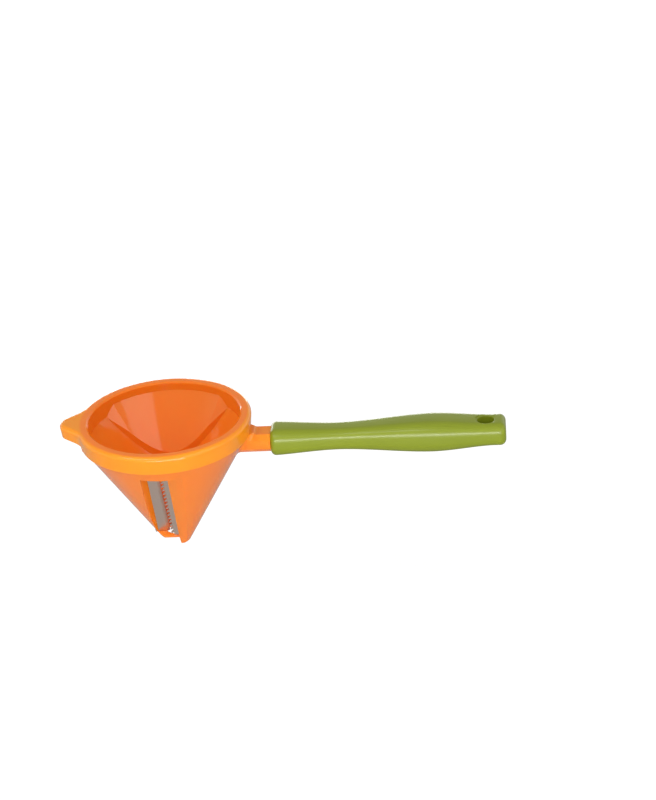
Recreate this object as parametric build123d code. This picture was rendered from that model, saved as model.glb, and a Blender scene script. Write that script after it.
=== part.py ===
from build123d import *
import math
import os

# Hand-held cone slicer: a funnel with a julienne blade in its wall, held by a side handle.
# Frame: origin at the centre of the mouth, in the plane of the rim's top face.
# +Z up out of the mouth, +X along the handle, the blade window faces -Y. Millimetres.

# ---------------------------------------------------------------- funnel
RIM_DIA = 75.0            # outside of the rim band at its top
BAND_HEIGHT = 8.0         # straight band round the mouth
BAND_DRAFT = 0.9          # the band's radius shrinks by this towards its lower edge
RIM_WALL = 4.9            # from the band's outside to the bore of the mouth
RIM_OUTER_ROUND = 1.8     # rounded outer top edge
RIM_INNER_CHAMFER = 0.7   # inner top edge
MOUTH_DEPTH = 7.9         # wall inside the mouth, above the cone
MOUTH_DRAFT = 0.1         # this wall's lower half narrows by this, on the radius
CONE_HALF_ANGLE = 30.2    # degrees, of the cone inside and out
WALL = 3.0                # cone wall, square to its surface
TIP_DIA = 10.1            # outside of the cone at its cut-off tip
TIP_FLOOR = 3.8           # plastic below the end of the bore
TIP_ROUND = 2.4           # rounded end of the tip

# ---------------------------------------------------------------- lip opposite the handle
LIP_REACH = 7.5           # beyond the rim band
LIP_TURN = 2.5            # degrees, from straight opposite the handle towards the window
LIP_HALF_ANGLE = 42.0     # degrees, of the wedge in plan
LIP_TIP_RADIUS = 6.3
LIP_BLEND = 15.0          # hollow radius between the lip and the rim in plan
LIP_THICKNESS = 6.0
LIP_ROUND = 1.1           # rounded edges, top and bottom

# ---------------------------------------------------------------- arm and the core inside the grip
ARM_WIDTH = 11.6
ARM_HEIGHT = 8.1
ARM_CHAMFER = 2.0
ARM_BELOW_BAND = 0.65     # top of the arm below the lower edge of the band
ARM_FLARE = 2.4           # hollow fillet where the arm leaves the funnel
ARM_INSET = 1.5           # the arm's full section runs this far into the grip
CORE_WIDTH = 6.4
CORE_HEIGHT = 5.2
CORE_ROUND = 1.4
CORE_TO_HOLE = 6.0        # grip left between the core's end and the hanging hole
CORE_HOLE_DIA = 3.2       # holes that lock the overmoulded grip
CORE_HOLE_PITCH = 22.0

# ---------------------------------------------------------------- grip
GRIP_START = 45.0         # front face of the grip, from the mouth's axis
GRIP_LENGTH = 100.0
COLLAR_LENGTH = 3.0       # even stretch behind the front face
WAIST_SHARE = 0.30        # waist and palm swell, as shares of the grip's length
PALM_SHARE = 0.68
BUTT_LENGTH = 8.0         # even stretch before the end face
COLLAR_WIDTH = 14.8
COLLAR_HEIGHT = 12.0
WAIST_WIDTH = 11.8
WAIST_HEIGHT = 9.8
PALM_WIDTH = 16.6
PALM_HEIGHT = 14.0
BUTT_WIDTH = 14.6
BUTT_HEIGHT = 10.4
GRIP_FACET_SHARE = 0.42       # the section's corner facets, as a share of its half height
COLLAR_ROUND = 1.9
BUTT_ROUND = 2.4
HANG_HOLE_DIA = 7.0
HANG_HOLE_INSET = 8.5     # from the end face to the hole's middle

# ---------------------------------------------------------------- blade window in the funnel wall
WINDOW_TURN = 2.4         # degrees, towards the lip
WINDOW_TOP = 13.3         # below the rim, where the window and its flat begin
FINGER_LENGTH = 4.7       # solid end of the tip below the window
FLAT_DEPTH = 1.4          # the flat that carries the comb, below the cone's crown line
MOUTH_SIDE = 3.7          # right wall of the window, from the cone's crown line
RAMP_TOP = 7.5            # left edge of the ramp at the outer surface
RAMP_FOOT = 5.4           # where the ramp meets the slicing blade
WINDOW_HEAD = 2.5         # seat of the slicing blade above the window
TIP_CUT = 1.8             # the window runs out through the tip left of this
TIP_CUT_ROUND = 1.2

# ---------------------------------------------------------------- steel
ROOT_BEND = 16.0          # degrees the slicing blade's root turns outwards
STEEL = 0.6               # thickness of both blades
SLICE = 1.2               # the slicing blade's outer face stands this far inside the bore
EDGE_GAP = 0.4            # slicing edge left of the crown line
EDGE_BEVEL = 1.3          # ground width of the slicing edge
SLICER_ROOT_TOP = 9.5     # moulded-in edge of the slicing blade, at the top
SLICER_ROOT_FOOT = 6.6    # and at the foot, where the cone is narrow
COMB_COVER = 0.5          # plastic over the comb's root
COMB_ROOT_TOP = 7.2
COMB_ROOT_FOOT = 4.5
COMB_TOOTH_ROOT = 1.7     # from the crown line
COMB_TOOTH_TIP = 0.5
TOOTH_PITCH = 3.0
TOOTH_GAP = 1.25          # at the root line, along the strip
TOOTH_TIP_WIDTH = 0.8
TOOTH_SWEEP = 1.1         # the tips lie this much nearer the funnel's tip
FIRST_GAP = 2.0           # below the top of the window
KEY_HOLE_DIA = 1.8        # holes in the roots, filled by the moulding
KEY_HOLE_PITCH = 16.0

# ---------------------------------------------------------------- raised land on the rear wall
LAND_TURN = 5.0           # degrees, its middle from straight behind towards the lip
LAND_OFFSET = 18.9        # its flat front, from the axis
LAND_RISE = 2.2           # over the bore of the cone, sideways
LAND_EASE_TURN = 27.2     # degrees from its middle to each facet that eases an end
LAND_EASE_LEAN = 27.4     # degrees, lean of these facets
LAND_EASE_OUT = 0.4       # the facets' planes pass this far outside the mouth, at the rim

# ---------------------------------------------------------------- derived places
HALF = math.radians(CONE_HALF_ANGLE)
RIM_R = RIM_DIA / 2
MOUTH_R = RIM_R - RIM_WALL
CONE_TOP_R = MOUTH_R - MOUTH_DRAFT
WALL_ACROSS = WALL / math.cos(HALF)
TIP_DEPTH = MOUTH_DEPTH + (CONE_TOP_R + WALL_ACROSS - TIP_DIA / 2) / math.tan(HALF)
ARM_Z = -BAND_HEIGHT - ARM_BELOW_BAND - ARM_HEIGHT / 2
ARM_END = GRIP_START + ARM_INSET
HANG_HOLE_X = GRIP_START + GRIP_LENGTH - HANG_HOLE_INSET
CORE_END = HANG_HOLE_X - HANG_HOLE_DIA / 2 - CORE_TO_HOLE
LAND_TOP = MOUTH_DEPTH - (LAND_RISE + MOUTH_DRAFT) / math.tan(HALF)
WINDOW_FOOT = TIP_DEPTH - FINGER_LENGTH
WINDOW_LENGTH = (WINDOW_FOOT - WINDOW_TOP) / math.cos(HALF)    # along the slope
SLICER_OUT = -WALL - SLICE
SLICER_IN = SLICER_OUT - STEEL
COMB_OUT = -FLAT_DEPTH - COMB_COVER
COMB_IN = COMB_OUT - STEEL
FAR = 2 * RIM_DIA         # longer than anything that it cuts
TOUCH = 0.05              # points nearer than this are taken as one place


def bore_radius(depth):
    """Radius of the cone's bore at a depth below the rim."""
    return CONE_TOP_R - (depth - MOUTH_DEPTH) * math.tan(HALF)


def outer_radius(depth):
    """Outside radius of the cone at a depth below the rim."""
    return bore_radius(depth) + WALL_ACROSS


def window_plane(outwards=0.0):
    """Plane on the cone's crown line at the window: X sideways, Y up the slope, Z outwards."""
    plane = Plane(
        origin=(0, -outer_radius(WINDOW_TOP), -WINDOW_TOP),
        x_dir=(1, 0, 0),
        z_dir=(0, -math.cos(HALF), -math.sin(HALF)),
    )
    return Rot(0, 0, -WINDOW_TURN) * plane.offset(outwards)


def window_bar(points, top, foot):
    """A bar down the slope with a section of (sideways, outwards) points."""
    plane = window_plane()
    start = plane.origin + plane.y_dir * top
    section = Plane(origin=start, x_dir=plane.x_dir, z_dir=-plane.y_dir)
    outline = Polyline(*points, close=True)
    return extrude(section * make_face(outline), top - foot)


def window_sheet(points, inner, outer):
    """A flat sheet with an outline of (sideways, up the slope) points between two levels."""
    outline = Polyline(*points, close=True)
    return extrude(window_plane(inner) * make_face(outline), outer - inner)


def revolve_profile(points):
    """Turn a closed outline of (radius, height) points about the funnel's axis."""
    outline = Polyline(*[(radius, 0, height) for radius, height in points], close=True)
    return revolve(make_face(outline), axis=Axis.Z, revolution_arc=360)


# ---------------------------------------------------------------- funnel
def cone_outside():
    """The cone as one solid, run on above the band's lower edge, with the rounded tip."""
    over = BAND_HEIGHT - 2 * ARM_FLARE
    solid = revolve_profile([
        (0, -over),
        (outer_radius(over), -over),
        (outer_radius(TIP_DEPTH), -TIP_DEPTH),
        (0, -TIP_DEPTH),
    ])
    tip_edge = solid.edges().filter_by(GeomType.CIRCLE).sort_by(Axis.Z)[0]
    return fillet(tip_edge, TIP_ROUND)


def rim_band():
    """Drafted band round the mouth, as a disc."""
    return revolve_profile([
        (0, 0),
        (RIM_R, 0),
        (RIM_R - BAND_DRAFT, -BAND_HEIGHT),
        (0, -BAND_HEIGHT),
    ])


def below_band(solid):
    """What a solid has below the band's lower edge."""
    return solid - Pos(0, 0, FAR / 2 - BAND_HEIGHT) * Box(2 * FAR, 2 * FAR, FAR)


def funnel_bore():
    """The mouth, straight as far down as the land's top, and the cone below it."""
    floor = TIP_DEPTH - TIP_FLOOR
    return revolve_profile([
        (0, FAR),
        (MOUTH_R, FAR),
        (MOUTH_R, -LAND_TOP),
        (CONE_TOP_R, -MOUTH_DEPTH),
        (bore_radius(floor), -floor),
        (0, -floor),
    ])


def on_rim(point):
    """Whether a point lies on the outline of the rim."""
    return abs(math.hypot(point.X, point.Y) - RIM_R) < TOUCH


def lip_plan():
    """Plan of the rim with the lip blended into it by hollow curves."""
    half = math.radians(LIP_HALF_ANGLE)
    centre = LIP_TIP_RADIUS - RIM_R - LIP_REACH
    apex = centre - LIP_TIP_RADIUS / math.sin(half)
    inside = -RIM_R / 2
    spread = (inside - apex) * math.tan(half)
    wedge = make_face(Polyline((apex, 0), (inside, spread), (inside, -spread), close=True))
    plan = Circle(RIM_R) + (wedge - Circle(RIM_R))
    plan = fillet(plan.vertices().sort_by(Axis.X)[0], LIP_TIP_RADIUS)
    return fillet([v for v in plan.vertices() if v.X < 0 and on_rim(v)], LIP_BLEND)


def rim():
    """Band and lip as one drafted disc, flush on top, the lip thinner than the band."""
    plan = lip_plan()
    join = min(v.X for v in plan.vertices() if on_rim(v))
    draft = math.degrees(math.atan(BAND_DRAFT / BAND_HEIGHT))
    disc = extrude(plan, -BAND_HEIGHT, taper=draft)
    disc = fillet(disc.edges().group_by(Axis.Z)[-1], RIM_OUTER_ROUND)
    under = Pos(join - FAR / 2, 0, -LIP_THICKNESS - FAR / 2) * Box(FAR, FAR, FAR)
    return Rot(0, 0, LIP_TURN) * (disc - (under - rim_band()))


# ---------------------------------------------------------------- arm and core
def side_plane(x):
    """Plane across the handle at a distance from the mouth's axis: X to +Y, Y up."""
    return Plane(origin=(x, 0, ARM_Z), x_dir=(0, 1, 0), z_dir=(1, 0, 0))


def facet_section(width, height, facet):
    """Eight-sided section with equal corner facets."""
    a = width / 2
    b = height / 2
    c = facet
    ring = [(a - c, b), (a, b - c), (a, c - b), (a - c, -b), (c - a, -b), (-a, c - b), (-a, b - c), (c - a, b)]
    return make_face(Polyline(*ring, close=True))


def arm():
    """Faceted arm from inside the funnel's wall to just inside the grip."""
    start = outer_radius(ARM_HEIGHT / 2 - ARM_Z) - WALL
    return extrude(side_plane(start) * facet_section(ARM_WIDTH, ARM_HEIGHT, ARM_CHAMFER), ARM_END - start)


def handle_core():
    """Slimmer bar that runs on from the arm inside the grip, with holes that lock the grip."""
    section = side_plane(ARM_END) * RectangleRounded(CORE_WIDTH, CORE_HEIGHT, CORE_ROUND)
    bar = extrude(section, CORE_END - ARM_END)
    middle = (ARM_END + CORE_END) / 2
    for x in (middle - CORE_HOLE_PITCH / 2, middle + CORE_HOLE_PITCH / 2):
        bar -= Pos(x, 0, ARM_Z) * Cylinder(CORE_HOLE_DIA / 2, 2 * CORE_HEIGHT)
    return bar


# ---------------------------------------------------------------- window for the blades
def window_cut():
    """Flat for the comb, throat between the blades and ramp that the ribbons leave over."""
    flat = window_bar([
        (-RAMP_TOP, -FLAT_DEPTH),
        (RIM_R, -FLAT_DEPTH),
        (RIM_R, WALL),
        (-RAMP_TOP, WALL),
    ], 0, -FAR)
    throat = window_bar([
        (MOUTH_SIDE, 0),
        (MOUTH_SIDE, SLICER_IN - STEEL),
        (-RAMP_FOOT, SLICER_IN - STEEL),
        (-RAMP_FOOT, SLICER_OUT),
        (-RAMP_TOP, -FLAT_DEPTH),
        (-RAMP_TOP, 0),
    ], 0, -WINDOW_LENGTH)
    below = -WINDOW_FOOT - FAR / 2
    tip = Rot(0, 0, -WINDOW_TURN) * Pos(TIP_CUT - FAR / 2, 0, below) * Box(FAR, FAR, FAR)
    return flat + throat + tip


def slicer_seat():
    """Plastic inside the cone that holds the slicing blade's root and head."""
    below_ramp = window_bar([
        (-RAMP_FOOT, SLICER_IN),
        (-RAMP_FOOT, 0),
        (-RIM_R, 0),
        (-RIM_R, SLICER_IN),
    ], WINDOW_HEAD, -WINDOW_LENGTH)
    head = window_bar([
        (-RAMP_FOOT - WALL, SLICER_IN),
        (-RAMP_FOOT - WALL, 0),
        (MOUTH_SIDE, 0),
        (MOUTH_SIDE, SLICER_IN),
    ], WINDOW_HEAD, 0)
    return below_ramp + head


def land_ease(side):
    """What a facet takes off one end of the land: side 1 towards the handle, -1 towards the lip."""
    facet = Rot(0, 0, LAND_TURN - side * LAND_EASE_TURN) * Pos(0, MOUTH_R + LAND_EASE_OUT, 0)
    return facet * Rot(-LAND_EASE_LEAN, 0, 0) * Pos(side * FAR / 2, -FAR / 2, 0) * Box(FAR, FAR, 2 * FAR)


def rear_land():
    """Raised land on the rear wall: flat in front, its ends eased into the mouth by two facets."""
    foot = MOUTH_DEPTH + (CONE_TOP_R - LAND_OFFSET) / math.tan(HALF)
    ring = revolve_profile([
        (MOUTH_R, -LAND_TOP),
        (LAND_OFFSET - LAND_RISE, -foot),
        (LAND_OFFSET + WALL / 2, -foot),
        (MOUTH_R + WALL / 2, -MOUTH_DEPTH),
        (MOUTH_R + WALL / 2, -LAND_TOP),
    ])
    behind = Rot(0, 0, LAND_TURN) * Pos(0, LAND_OFFSET + FAR / 2, 0) * Box(FAR, FAR, FAR)
    return (ring & behind) - land_ease(1) - land_ease(-1)


# ---------------------------------------------------------------- steel
def key_holes(side_top, side_foot):
    """Row of drills for the holes down a blade's root, between two sideways places."""
    drills = []
    count = int(WINDOW_LENGTH // KEY_HOLE_PITCH)
    for index in range(count):
        down = (index + 0.5) * WINDOW_LENGTH / count
        side = side_top + (side_foot - side_top) * down / WINDOW_LENGTH
        place = window_plane(-FAR / 2) * Pos(side, -down, 0)
        drills.append(extrude(place * Circle(KEY_HOLE_DIA / 2), FAR))
    return drills


def slicing_blade():
    """Ground edge towards the comb, root bent outwards into the wall and moulded in."""
    rise = (RIM_R - RAMP_FOOT) * math.tan(math.radians(ROOT_BEND))
    bar = window_bar([
        (-EDGE_GAP, SLICER_IN),
        (-EDGE_GAP - EDGE_BEVEL, SLICER_OUT),
        (-RAMP_FOOT, SLICER_OUT),
        (-RIM_R, SLICER_OUT + rise),
        (-RIM_R, SLICER_IN + rise),
        (-RAMP_FOOT, SLICER_IN),
    ], WINDOW_HEAD / 2, -WINDOW_LENGTH)
    outline = window_sheet([
        (0, WINDOW_HEAD),
        (-SLICER_ROOT_TOP, WINDOW_HEAD),
        (-SLICER_ROOT_TOP, 0),
        (-SLICER_ROOT_FOOT, -WINDOW_LENGTH),
        (0, -WINDOW_LENGTH),
    ], SLICER_IN, 0)
    blade = bar & outline
    side_top = -(RAMP_FOOT + SLICER_ROOT_TOP) / 2
    side_foot = -(RAMP_FOOT + SLICER_ROOT_FOOT) / 2
    return blade - key_holes(side_top, side_foot)


def comb_outline():
    """Strip with swept teeth on its left edge, from the top of the window to its foot."""
    points = [
        (COMB_ROOT_TOP, WINDOW_HEAD / 2),
        (COMB_TOOTH_ROOT, WINDOW_HEAD / 2),
    ]
    gap = FIRST_GAP
    while gap + TOOTH_PITCH < WINDOW_LENGTH:
        tooth_top = -gap - TOOTH_GAP
        tooth_foot = -gap - TOOTH_PITCH
        tip_middle = (tooth_top + tooth_foot) / 2 - TOOTH_SWEEP
        points += [
            (COMB_TOOTH_ROOT, tooth_top),
            (COMB_TOOTH_TIP, tip_middle + TOOTH_TIP_WIDTH / 2),
            (COMB_TOOTH_TIP, tip_middle - TOOTH_TIP_WIDTH / 2),
            (COMB_TOOTH_ROOT, tooth_foot),
        ]
        gap += TOOTH_PITCH
    points += [
        (COMB_TOOTH_ROOT, -WINDOW_LENGTH),
        (COMB_ROOT_FOOT, -WINDOW_LENGTH),
    ]
    return points


def julienne_comb():
    """Toothed strip that scores the vegetable ahead of the slicing blade."""
    blade = window_sheet(comb_outline(), COMB_IN, COMB_OUT)
    side_top = (MOUTH_SIDE + COMB_ROOT_TOP) / 2
    side_foot = (MOUTH_SIDE + COMB_ROOT_FOOT) / 2
    return blade - key_holes(side_top, side_foot)


# ---------------------------------------------------------------- grip
def grip_skin():
    """Faceted grip: collar, waist, palm swell and butt in one loft."""
    places = [
        (0, COLLAR_WIDTH, COLLAR_HEIGHT),
        (COLLAR_LENGTH, COLLAR_WIDTH, COLLAR_HEIGHT),
        (WAIST_SHARE * GRIP_LENGTH, WAIST_WIDTH, WAIST_HEIGHT),
        (PALM_SHARE * GRIP_LENGTH, PALM_WIDTH, PALM_HEIGHT),
        (GRIP_LENGTH - BUTT_LENGTH, BUTT_WIDTH, BUTT_HEIGHT),
        (GRIP_LENGTH, BUTT_WIDTH, BUTT_HEIGHT),
    ]
    sections = []
    for along, width, height in places:
        facet = GRIP_FACET_SHARE * height / 2
        sections.append(side_plane(GRIP_START + along) * facet_section(width, height, facet))
    return loft(sections)


def handle_grip(inside):
    """Overmoulded grip round the arm's end and the core, with a hole to hang it by."""
    skin = grip_skin()
    ends = skin.faces().filter_by(GeomType.PLANE).sort_by(Axis.X)
    skin = fillet(ends[0].edges(), COLLAR_ROUND)
    ends = skin.faces().filter_by(GeomType.PLANE).sort_by(Axis.X)
    skin = fillet(ends[-1].edges(), BUTT_ROUND)
    hole = Pos(HANG_HOLE_X, 0, ARM_Z) * Cylinder(HANG_HOLE_DIA / 2, 2 * PALM_HEIGHT)
    return skin - hole - inside


# ---------------------------------------------------------------- assembly
def arm_root_edges(solid):
    """Edges where the arm's facets meet the cone."""
    return [
        e for e in solid.edges()
        if abs(e.center().Y) <= ARM_WIDTH / 2 + TOUCH
        and MOUTH_R - WALL < e.center().X < RIM_R
        and abs(e.center().Z - ARM_Z) <= ARM_HEIGHT / 2 + TOUCH
    ]


def funnel_shell():
    """Funnel with its lip and arm, before the window is cut."""
    solid = cone_outside() + arm()
    solid = fillet(arm_root_edges(solid), ARM_FLARE)
    solid = below_band(solid) + rim() - funnel_bore()
    top = solid.faces().filter_by(GeomType.PLANE).sort_by(Axis.Z)[-1]
    return chamfer(top.inner_wires()[0].edges(), RIM_INNER_CHAMFER)


def funnel_body(blades):
    """One moulding: funnel, lip and arm, shaped round the moulded-in blades."""
    inside = below_band(cone_outside())
    solid = funnel_shell() + rear_land() + (slicer_seat() & inside)
    solid -= window_cut()
    for blade in blades:
        solid -= blade
    return solid


slicer = slicing_blade()
comb = julienne_comb()
core = handle_core()
nodes = {
    "funnel_body": funnel_body([slicer, comb]),
    "handle_core": core,
    "slicing_blade": slicer,
    "julienne_comb": comb,
    "handle_grip": handle_grip(arm() + core),
}

os.makedirs("parts", exist_ok=True)
for name, solid in nodes.items():
    export_step(solid, f"parts/{name}.step")
    print(name, len(solid.solids()), "solid", round(solid.volume), "mm3", solid.bounding_box())
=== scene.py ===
import math

import bmesh
import bpy
from mathutils import Matrix, Vector


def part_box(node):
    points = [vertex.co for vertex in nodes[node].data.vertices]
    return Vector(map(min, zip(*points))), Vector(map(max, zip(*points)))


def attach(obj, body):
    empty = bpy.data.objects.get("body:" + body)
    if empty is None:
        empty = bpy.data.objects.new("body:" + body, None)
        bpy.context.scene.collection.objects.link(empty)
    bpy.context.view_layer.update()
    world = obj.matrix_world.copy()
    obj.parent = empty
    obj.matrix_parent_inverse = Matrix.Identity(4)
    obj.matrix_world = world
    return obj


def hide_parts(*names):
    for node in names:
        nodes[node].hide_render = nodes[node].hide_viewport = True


# Hand-held cone slicer: glossy orange funnel, two stainless blades in its wall, green grip.
# Metres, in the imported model's own frame: origin at the centre of the mouth, +X along the
# handle, +Z up out of the mouth, the blade window faces -Y.

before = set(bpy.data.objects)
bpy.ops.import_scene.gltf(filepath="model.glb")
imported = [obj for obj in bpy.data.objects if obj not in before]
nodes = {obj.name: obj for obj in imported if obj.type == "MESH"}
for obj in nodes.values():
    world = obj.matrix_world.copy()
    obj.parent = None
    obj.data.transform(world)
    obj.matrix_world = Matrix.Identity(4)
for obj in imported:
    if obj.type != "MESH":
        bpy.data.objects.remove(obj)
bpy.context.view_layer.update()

MM = 0.001

# ------------------------------------------------------------------ camera, as the photograph was taken
IMAGE_WIDTH = 656
IMAGE_HEIGHT = 800
MOUTH_AT = Vector((163.8, 416.3))     # where the centre of the mouth falls in the image, in pixels
MOUTH_SCALE = 2.3472                  # pixels per millimetre at the mouth
CAMERA_DEPTH = 900                    # millimetres from the lens to the mouth, along the view
CAMERA_AZIMUTH = 10.0                 # degrees round from the window's side, towards the handle
CAMERA_ELEVATION = 27.07
CAMERA_ROLL = 6.89                    # the tool is held with its handle's end a little high
SENSOR = 36.0
CLIP_START = 0.02
CLIP_END = 20.0

# ------------------------------------------------------------------ colour of the moulding, with its painted shade
PAINTED_SHADE_STARTS_DEPTH = 6.0 * MM                   # below the mouth: painted shade, a deeper orange, starts here down the band
PAINTED_SHADE_FULL_DEPTH = 16.0 * MM                 # and the painted shade is full here, on the cone
FLOW_CONTRAST = 0.25                  # faint flow marks, as a share of that change
PAINTED_SHADE_STARTS_RADIUS = 36.4 * MM                # no painted shade from this radius out, on the band and the lip
PAINTED_SHADE_FULL_RADIUS = 35.2 * MM                  # full painted shade from this radius in, on the rim's top and inside

# ------------------------------------------------------------------ sizes of the patterns
FLOW_MARK = 18.0 * MM                 # flow marks in the orange moulding
RIPPLE = 6.0 * MM                     # ripple of its polished skin
RIPPLE_HEIGHT = 0.04 * MM
GRAIN = 0.6 * MM                      # grain of the grip's satin mould
GRAIN_HEIGHT = 0.02 * MM
GRIP_TONE = 20.0 * MM                 # slow change of the grip's green
GRIND_LINE = 0.2 * MM                 # grinding lines on the steel
GRIND_STRETCH = (1.0, 0.03, 0.03)
GRIND_HEIGHT = 0.02 * MM

# sockets of a mix node, which share their names
MIX_FACTOR = 0
MIX_FLOAT_A = 2
MIX_FLOAT_B = 3
MIX_COLOUR_A = 6
MIX_COLOUR_B = 7
MIX_COLOUR_OUT = 2

# ------------------------------------------------------------------ grip, sizes of the overmoulding
COLLAR = (3.0 * MM, 14.8 * MM, 12.0 * MM)     # along from the front face, width, height
WAIST = (30.0 * MM, 11.8 * MM, 9.8 * MM)
PALM = (68.0 * MM, 16.6 * MM, 14.0 * MM)
BUTT = (92.0 * MM, 14.6 * MM, 10.4 * MM)
FACET_SHARE = 0.42                    # corner facets, as a share of the half height
RIDGE_SOFTNESS = 0.36                 # rounding of the ridges, as a share of the half height
FRONT_ROUND = 2.2 * MM
END_ROUND = 2.6 * MM
ARM_SECTION = (11.6 * MM, 8.1 * MM)   # the arm that runs into the collar
ARM_FACET = 2.0 * MM
ARM_RIDGE = 0.1 * MM
ARM_INSIDE = 1.2 * MM                 # the collar's bore is closed this far in
FULL_TURN_POINTS = 64                 # round the hanging hole
RIDGE_POINTS = 5                      # steps round one ridge
BODY_RINGS = 60                       # sections between the rounded ends
ROUND_STEP = 15                       # degrees, on the rounded ends and the hole's flare
END_CAP_SHARE = 0.9                   # the butt's flat cap, as a share of its last section
SHARP_ANGLE = 32                      # degrees, edges sharper than this stay crisp
HANG_HOLE_RADIUS = 3.5 * MM
HANG_HOLE_INSET = 8.5 * MM            # from the end face
HANG_HOLE_FLARE = 0.8 * MM            # rounded edges of the hole

# ------------------------------------------------------------------ stage
FLOOR_BELOW = 152 * MM                # the table, below the mouth
FLOOR_SIZE = 3.0
LAMPS_REACH = 1.0                     # the lamps' light on the table has faded this far out
LIFT_NEAR = 0.6                       # added to the lit table where the camera sees it
LIFT_FAR = 0.85
ROOM_LIGHT = 0.66                     # level of the room's soft light
CEILING_LIGHT = 0.4                   # level at which its ceiling shows in mirrors
WALLS_TOP = 0.2                       # heights on the sky, as sines: where the white walls begin to end
CEILING = 0.45
TOOL_MIDDLE = (0.03, 0, -0.03)
CONE_MIDDLE = (0, 0, -0.03)
LAMPS = (
    # name, place, aim, width, height, watts
    ("key", (-0.45, -0.7, 0.9), CONE_MIDDLE, 1.0, 0.14, 4.5),
    ("fill", (0.75, -0.6, 0.55), TOOL_MIDDLE, 0.9, 0.4, 1.6),
    ("low_front", (0.1, -1.0, -0.05), TOOL_MIDDLE, 0.9, 0.15, 6.0),
    ("low_back", (-0.2, 0.95, -0.05), TOOL_MIDDLE, 0.9, 0.3, 3.5),
)


def place_camera():
    """Camera that sees the mouth at its place, size and tilt in the photograph."""
    azimuth, elevation, roll = (math.radians(a) for a in (CAMERA_AZIMUTH, CAMERA_ELEVATION, CAMERA_ROLL))
    focal_pixels = MOUTH_SCALE * CAMERA_DEPTH
    off_axis = (MOUTH_AT - Vector((IMAGE_WIDTH / 2, IMAGE_HEIGHT / 2))) / focal_pixels
    to_mouth = Vector((off_axis.x, -off_axis.y, -1.0))

    # axes of a view straight at the mouth, turned by the tool's roll
    back = Vector((
        math.sin(azimuth) * math.cos(elevation),
        -math.cos(azimuth) * math.cos(elevation),
        math.sin(elevation),
    ))
    right = Vector((math.cos(azimuth), math.sin(azimuth), 0.0))
    up = back.cross(right)
    rolled_right = right * math.cos(roll) - up * math.sin(roll)
    rolled_up = back.cross(rolled_right)
    straight = Matrix((rolled_right, rolled_up, back)).transposed()

    # the same axes as the camera sees them, with the mouth off the middle of the image
    seen_back = -to_mouth.normalized()
    seen_right = Vector((0, 1, 0)).cross(seen_back).normalized()
    seen = Matrix((seen_right, seen_back.cross(seen_right), seen_back)).transposed()

    camera = bpy.data.objects.new("camera", bpy.data.cameras.new("camera"))
    bpy.context.scene.collection.objects.link(camera)
    camera.matrix_world = Matrix.Translation(back * to_mouth.length * CAMERA_DEPTH * MM) @ (
        straight @ seen.transposed()
    ).to_4x4()
    camera.data.sensor_width = SENSOR
    camera.data.lens = focal_pixels * SENSOR / IMAGE_HEIGHT
    camera.data.clip_start = CLIP_START
    camera.data.clip_end = CLIP_END
    bpy.context.scene.camera = camera


# ------------------------------------------------------------------ materials
def linear(hex_colour):
    """An sRGB hex colour as linear RGBA."""
    channels = [int(hex_colour[i:i + 2], 16) / 255 for i in (1, 3, 5)]
    return [c / 12.92 if c <= 0.04045 else ((c + 0.055) / 1.055) ** 2.4 for c in channels] + [1.0]


def add(tree, kind, settings=None, links=None):
    """Adds a node. Settings are its properties or its inputs' values; links maps inputs to outputs."""
    node = tree.nodes.new(kind)
    for name, value in (settings or {}).items():
        if isinstance(name, str) and hasattr(node, name):
            setattr(node, name, value)
        else:
            node.inputs[name].default_value = value
    for name, output in (links or {}).items():
        tree.links.new(output, node.inputs[name])
    return node


def material(name):
    """An empty node material."""
    made = bpy.data.materials.new(name)
    made.use_nodes = True
    made.node_tree.nodes.clear()
    return made, made.node_tree


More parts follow.
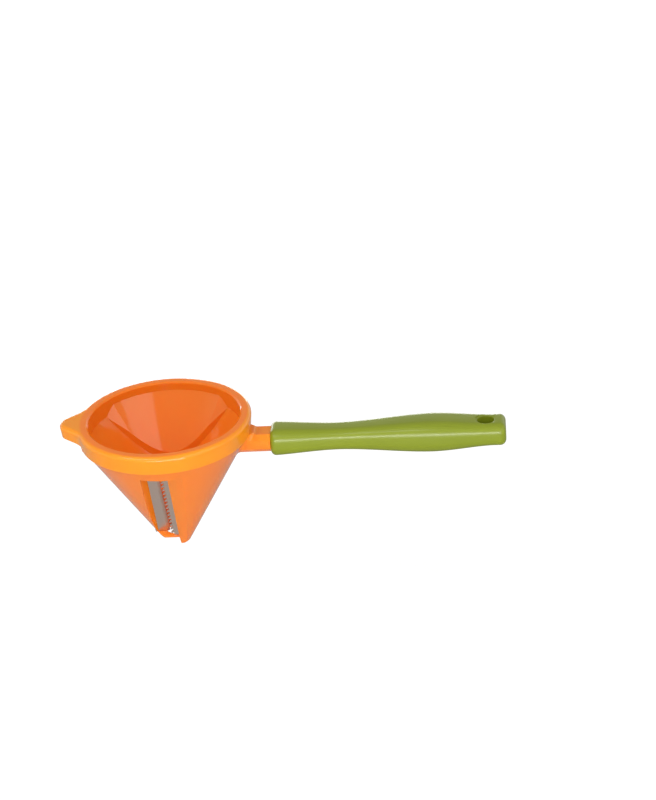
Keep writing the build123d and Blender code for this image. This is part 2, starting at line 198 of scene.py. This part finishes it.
def moulded_abs():
    """Polished orange ABS with crisp, rippling highlights, and painted shade: deeper orange on the cone, rim
    top and inside.
    """
    made, tree = material("polished_mould_abs_orange")
    place = add(tree, "ShaderNodeTexCoord")
    flow = add(tree, "ShaderNodeTexNoise", {"Scale": 1 / FLOW_MARK, "Detail": 2.0},
               {"Vector": place.outputs["Object"]})
    height = add(tree, "ShaderNodeSeparateXYZ", {}, {0: place.outputs["Object"]})
    # painted shade: the mouth, the rim's top, the inside and the cone are painted a deeper orange than the
    # band and the lip
    painted_shade_by_height = add(tree, "ShaderNodeMapRange", {"From Min": -PAINTED_SHADE_STARTS_DEPTH, "From Max": -PAINTED_SHADE_FULL_DEPTH},
               {"Value": height.outputs["Z"]})
    flat = add(tree, "ShaderNodeVectorMath", {"operation": "MULTIPLY", 1: (1, 1, 0)},
               {0: place.outputs["Object"]})
    radius = add(tree, "ShaderNodeVectorMath", {"operation": "LENGTH"}, {0: flat.outputs[0]})
    inside = add(tree, "ShaderNodeMapRange", {"From Min": PAINTED_SHADE_STARTS_RADIUS, "From Max": PAINTED_SHADE_FULL_RADIUS},
                 {"Value": radius.outputs["Value"]})
    # painted shade: whichever of height and radius paints the surface deeper
    painted_shade = add(tree, "ShaderNodeMath", {"operation": "MAXIMUM"}, {0: painted_shade_by_height.outputs[0], 1: inside.outputs[0]})
    flow_marks_and_painted_shade = add(tree, "ShaderNodeMath", {"operation": "MULTIPLY_ADD", 1: FLOW_CONTRAST}, {
        0: flow.outputs[0], 2: painted_shade.outputs[0],
    })
    # orange between the band's yellow and the deeper orange of the painted shade, with real flow marks on
    # top
    colour = add(tree, "ShaderNodeMix", {
        "data_type": "RGBA", MIX_COLOUR_A: linear("#f6981c"), MIX_COLOUR_B: linear("#f68220"),
    }, {MIX_FACTOR: flow_marks_and_painted_shade.outputs[0]})
    ripple = add(tree, "ShaderNodeTexNoise", {"Scale": 1 / RIPPLE, "Detail": 1.0},
                 {"Vector": place.outputs["Object"]})
    bump = add(tree, "ShaderNodeBump", {"Strength": 0.25, "Distance": RIPPLE_HEIGHT},
               {"Height": ripple.outputs[0]})
    shader = add(tree, "ShaderNodeBsdfPrincipled", {
        "Roughness": 0.11, "IOR": 1.5,
        "Subsurface Weight": 0.35, "Subsurface Scale": 0.002,
        "Subsurface Radius": (1.0, 0.45, 0.12),
    }, {"Base Color": colour.outputs[MIX_COLOUR_OUT], "Normal": bump.outputs[0]})
    add(tree, "ShaderNodeOutputMaterial", {}, {"Surface": shader.outputs[0]})
    return made


def overmoulded_elastomer():
    """Green thermoplastic elastomer from a fine satin mould: soft sheen along its ridges, even grain."""
    made, tree = material("overmoulded_elastomer_green")
    place = add(tree, "ShaderNodeTexCoord")
    grain = add(tree, "ShaderNodeTexNoise", {"Scale": 1 / GRAIN, "Detail": 2.0},
                {"Vector": place.outputs["Object"]})
    bump = add(tree, "ShaderNodeBump", {"Strength": 0.3, "Distance": GRAIN_HEIGHT},
               {"Height": grain.outputs[0]})
    tone = add(tree, "ShaderNodeTexNoise", {"Scale": 1 / GRIP_TONE, "Detail": 2.0},
               {"Vector": place.outputs["Object"]})
    colour = add(tree, "ShaderNodeMix", {
        "data_type": "RGBA", MIX_COLOUR_A: linear("#86931d"), MIX_COLOUR_B: linear("#7c8919"),
    }, {MIX_FACTOR: tone.outputs[0]})
    shader = add(tree, "ShaderNodeBsdfPrincipled", {"Roughness": 0.3, "IOR": 1.5},
                 {"Base Color": colour.outputs[MIX_COLOUR_OUT], "Normal": bump.outputs[0]})
    add(tree, "ShaderNodeOutputMaterial", {}, {"Surface": shader.outputs[0]})
    return made


def ground_steel():
    """Ground stainless steel: fine lines along the strip that stretch its reflections; its pale colour is
    partly the steel's own and partly a painted warm reflection of the orange around it.
    """
    made, tree = material("ground_stainless_steel")
    place = add(tree, "ShaderNodeTexCoord")
    stretch = add(tree, "ShaderNodeMapping", {"Scale": GRIND_STRETCH}, {"Vector": place.outputs["Object"]})
    lines = add(tree, "ShaderNodeTexNoise", {"Scale": 1 / GRIND_LINE, "Detail": 2.0},
                {"Vector": stretch.outputs[0]})
    bump = add(tree, "ShaderNodeBump", {"Strength": 0.2, "Distance": GRIND_HEIGHT},
               {"Height": lines.outputs[0]})
    shader = add(tree, "ShaderNodeBsdfPrincipled", {
        # base colour: steel's own pale grey, warmed by a painted reflection of the orange moulding
        "Base Color": linear("#dcc8ba"), "Metallic": 1.0, "Roughness": 0.3,
    }, {"Normal": bump.outputs[0]})
    add(tree, "ShaderNodeOutputMaterial", {}, {"Surface": shader.outputs[0]})
    return made


def white_floor():
    """Matt table: mirrors see its quiet grey, and the camera sees it lifted to plain white."""
    made, tree = material("matt_white_table")
    path = add(tree, "ShaderNodeLightPath")
    place = add(tree, "ShaderNodeTexCoord")
    away = add(tree, "ShaderNodeVectorMath", {"operation": "LENGTH"}, {0: place.outputs["Object"]})
    lift = add(tree, "ShaderNodeMapRange", {
        "From Min": LAMPS_REACH / 4, "From Max": LAMPS_REACH, "To Min": LIFT_NEAR, "To Max": LIFT_FAR,
    }, {"Value": away.outputs["Value"]})
    seen = add(tree, "ShaderNodeMath", {"operation": "MULTIPLY"},
               {0: path.outputs["Is Camera Ray"], 1: lift.outputs[0]})
    shader = add(tree, "ShaderNodeBsdfPrincipled", {
        "Base Color": linear("#b4b4b4"), "Roughness": 0.8, "Emission Color": (1, 1, 1, 1),
    }, {"Emission Strength": seen.outputs[0]})
    add(tree, "ShaderNodeOutputMaterial", {}, {"Surface": shader.outputs[0]})
    return made


def middle_of(name):
    """Middle of a CAD node's box."""
    low, high = (Vector(corner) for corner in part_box(name))
    return (low + high) / 2


def finish_node(name, made):
    """Puts one material on a CAD node."""
    mesh = nodes[name].data
    mesh.materials.clear()
    mesh.materials.append(made)


# ------------------------------------------------------------------ grip
def soft_octagon(width, height, facet, softness):
    """Eight-sided section with rounded ridges, as (sideways, up) points."""
    a = width / 2
    b = height / 2
    corners = [Vector(p) for p in (
        (a - facet, b), (facet - a, b), (-a, b - facet), (-a, facet - b),
        (facet - a, -b), (a - facet, -b), (a, facet - b), (a, b - facet),
    )]
    points = []
    for index, corner in enumerate(corners):
        before = (corners[index - 1] - corner).normalized() * softness
        after = (corners[(index + 1) % 8] - corner).normalized() * softness
        for step in range(RIDGE_POINTS + 1):
            t = step / RIDGE_POINTS
            points.append(corner + before * (1 - t) ** 2 + after * t ** 2)
    return points


def smooth_between(stations, along):
    """Width and height at a place along the grip, on a smooth curve through its stations."""
    index = max(i for i in range(len(stations) - 1) if i == 0 or stations[i][0] <= along)
    start, end = stations[index], stations[index + 1]
    span = end[0] - start[0]
    t = (along - start[0]) / span

    def slope(i, side):
        lower = stations[max(i - 1, 0)]
        upper = stations[min(i + 1, len(stations) - 1)]
        return (upper[side] - lower[side]) / (upper[0] - lower[0]) * span

    return [
        (2 * t ** 3 - 3 * t ** 2 + 1) * start[side] + (t ** 3 - 2 * t ** 2 + t) * slope(index, side)
        + (3 * t ** 2 - 2 * t ** 3) * end[side] + (t ** 3 - t ** 2) * slope(index + 1, side)
        for side in (1, 2)
    ]


def quarter_turn():
    """Angles of a rounded edge, from none to a right angle."""
    return [math.radians(a) for a in range(0, 91, ROUND_STEP)]


def grip_rings(length):
    """Sections from inside the collar's front face to the butt: (along, points)."""
    stations = [(0.0, *COLLAR[1:]), COLLAR, WAIST, PALM, BUTT, (length, *BUTT[1:])]
    arm = soft_octagon(*ARM_SECTION, ARM_FACET, ARM_RIDGE)
    rings = [(ARM_INSIDE, arm), (0.0, arm)]
    body = length - FRONT_ROUND - END_ROUND
    places = [(FRONT_ROUND * (1 - math.cos(t)), FRONT_ROUND * (1 - math.sin(t))) for t in quarter_turn()]
    places += [(FRONT_ROUND + body * i / BODY_RINGS, 0.0) for i in range(1, BODY_RINGS)]
    places += [(length - END_ROUND * (1 - math.cos(t)), END_ROUND * (1 - math.sin(t)))
               for t in reversed(quarter_turn())]
    for along, inset in places:
        width, height = smooth_between(stations, along)
        facet = FACET_SHARE * height / 2 * (1 - 2 * inset / height)
        softness = RIDGE_SOFTNESS * height / 2 * (1 - 2 * inset / height)
        rings.append((along, soft_octagon(width - 2 * inset, height - 2 * inset, facet, softness)))
    last = rings[-1]
    rings.append((last[0], [p * END_CAP_SHARE for p in last[1]]))
    return rings


def ring_mesh(name, rings, place):
    """A closed mesh through rings of as many points each, capped at both ends."""
    shell = bmesh.new()
    loops = [[shell.verts.new(place(along, point)) for point in points] for along, points in rings]
    for one, two in zip(loops, loops[1:]):
        for i in range(len(one)):
            j = (i + 1) % len(one)
            shell.faces.new((one[i], one[j], two[j], two[i]))
    shell.faces.new(loops[0][::-1])
    shell.faces.new(loops[-1])
    bmesh.ops.recalc_face_normals(shell, faces=shell.faces)
    mesh = bpy.data.meshes.new(name)
    shell.to_mesh(mesh)
    shell.free()
    return mesh


def hole_cutter(place, depth):
    """Round bar with flared ends: what the hanging hole takes away."""
    flare = HANG_HOLE_FLARE
    profile = [(HANG_HOLE_RADIUS + flare, -2 * depth)]
    for sign, turns in ((-1, quarter_turn()), (1, reversed(quarter_turn()))):
        for t in turns:
            reach = HANG_HOLE_RADIUS + flare * (1 - math.sin(t))
            profile.append((reach, sign * (depth - flare * (1 - math.cos(t)))))
    profile.append((HANG_HOLE_RADIUS + flare, 2 * depth))
    around = [math.tau * i / FULL_TURN_POINTS for i in range(FULL_TURN_POINTS)]
    rings = [
        (up, [Vector((reach * math.cos(t), reach * math.sin(t))) for t in around])
        for reach, up in profile
    ]
    return ring_mesh("hang_hole", rings, lambda up, p: place + Vector((p.x, p.y, up)))


def soft_grip():
    """The overmoulded grip with its ridges and ends as soft as the real one's, and its hanging hole."""
    low, high = (Vector(corner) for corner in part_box("handle_grip"))
    start = low.x
    length = high.x - low.x
    axis_z = middle_of("handle_core").z
    mesh = ring_mesh("grip", grip_rings(length), lambda along, p: Vector((start + along, p.x, axis_z + p.y)))
    grip = bpy.data.objects.new("grip_overmould", mesh)
    bpy.context.scene.collection.objects.link(grip)

    hole_at = Vector((high.x - HANG_HOLE_INSET, 0.0, axis_z))
    cutter = bpy.data.objects.new("hang_hole", hole_cutter(hole_at, BUTT[2] / 2))
    bpy.context.scene.collection.objects.link(cutter)
    cut = grip.modifiers.new("hang_hole", "BOOLEAN")
    cut.operation = "DIFFERENCE"
    cut.solver = "EXACT"
    cut.object = cutter
    whole = bpy.data.meshes.new_from_object(grip.evaluated_get(bpy.context.evaluated_depsgraph_get()))
    grip.modifiers.clear()
    bpy.data.objects.remove(cutter)
    grip.data = whole
    whole.shade_smooth()
    whole.set_sharp_from_angle(angle=math.radians(SHARP_ANGLE))
    whole.materials.append(overmoulded_elastomer())
    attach(grip, "root")
    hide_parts("handle_grip")
    return grip


# ------------------------------------------------------------------ light
def area_light(name, place, target, width, height, watts):
    """A soft box aimed at a point, its width level."""
    lamp = bpy.data.lights.new(name, "AREA")
    lamp.shape = "RECTANGLE"
    lamp.size = width
    lamp.size_y = height
    lamp.energy = watts
    holder = bpy.data.objects.new(name, lamp)
    bpy.context.scene.collection.objects.link(holder)
    holder.location = place
    holder.rotation_euler = (Vector(target) - Vector(place)).to_track_quat("-Z", "Y").to_euler()


def light_studio():
    """Soft daylight from a room with white walls.

    Two high soft boxes draw the rim's highlights, and two low ones light the cone.
    """
    for lamp in LAMPS:
        area_light(*lamp)
    world = bpy.data.worlds.new("studio")
    bpy.context.scene.world = world
    world.use_nodes = True
    tree = world.node_tree
    tree.nodes.clear()
    path = add(tree, "ShaderNodeLightPath")
    towards = add(tree, "ShaderNodeTexCoord")
    up = add(tree, "ShaderNodeSeparateXYZ", {}, {0: towards.outputs["Generated"]})
    # mirrors see the white walls as the camera does, and the dimmer ceiling above them
    mirrored = add(tree, "ShaderNodeMapRange", {
        "From Min": WALLS_TOP, "From Max": CEILING, "To Min": 1.0, "To Max": CEILING_LIGHT,
    }, {"Value": up.outputs["Z"]})
    room = add(tree, "ShaderNodeMix", {"data_type": "FLOAT", MIX_FLOAT_A: ROOM_LIGHT},
               {MIX_FACTOR: path.outputs["Is Glossy Ray"], MIX_FLOAT_B: mirrored.outputs[0]})
    strength = add(tree, "ShaderNodeMath", {"operation": "MAXIMUM"},
                   {0: path.outputs["Is Camera Ray"], 1: room.outputs[0]})
    back = add(tree, "ShaderNodeBackground", {"Color": (1, 1, 1, 1)}, {"Strength": strength.outputs[0]})
    add(tree, "ShaderNodeOutputWorld", {}, {"Surface": back.outputs[0]})


def lay_floor():
    """A large flat table under the tool."""
    half = FLOOR_SIZE / 2
    mesh = bpy.data.meshes.new("table")
    corners = [(-half, -half, 0), (half, -half, 0), (half, half, 0), (-half, half, 0)]
    mesh.from_pydata(corners, [], [(0, 1, 2, 3)])
    table = bpy.data.objects.new("table", mesh)
    table.location.z = -FLOOR_BELOW
    bpy.context.scene.collection.objects.link(table)
    mesh.materials.append(white_floor())


place_camera()
lay_floor()
light_studio()
orange = moulded_abs()
finish_node("funnel_body", orange)
finish_node("handle_core", orange)
soft_grip()
steel = ground_steel()
finish_node("slicing_blade", steel)
finish_node("julienne_comb", steel)

bpy.context.scene.view_settings.view_transform = "Standard"
